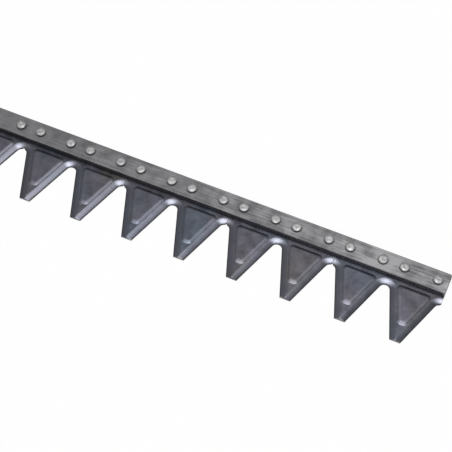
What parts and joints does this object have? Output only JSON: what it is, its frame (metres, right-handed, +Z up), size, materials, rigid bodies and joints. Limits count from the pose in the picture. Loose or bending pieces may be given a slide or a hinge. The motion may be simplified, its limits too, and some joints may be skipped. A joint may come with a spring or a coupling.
{
  "type": "sickle bar mower knife",
  "caption": "Mower knife: flat steel bar with double-toothed cutting sections riveted under it, bevelled edges and raised triangular panels on the teeth.",
  "frame": {"origin": "middle of the knife's bounding box, in the plane of the sections' undersides", "axes": "+X along the bar, +Y to the back of the knife (the teeth point to -Y), +Z up, from the sections to the bar"},
  "size_m": [1.016, 0.0754, 0.0127],
  "materials": {
    "bar_steel": "rolled flat steel, dull grey with fine streaks along the bar",
    "section_steel": "hardened steel, dark blue grey, smooth satin",
    "rivet_steel": "bright formed steel heads"
  },
  "bodies": {
    "root": {"knife_bar": "bar_steel", "section_01": "section_steel", "section_02": "section_steel", "section_03": "section_steel", "section_04": "section_steel", "section_05": "section_steel", "section_06": "section_steel", "section_07": "section_steel", "section_08": "section_steel", "section_09": "section_steel", "section_10": "section_steel", "section_rivets_01": "rivet_steel", "section_rivets_02": "rivet_steel", "section_rivets_03": "rivet_steel", "section_rivets_04": "rivet_steel", "section_rivets_05": "rivet_steel", "section_rivets_06": "rivet_steel", "section_rivets_07": "rivet_steel", "section_rivets_08": "rivet_steel", "section_rivets_09": "rivet_steel", "section_rivets_10": "rivet_steel"}
  },
  "joints": []
}
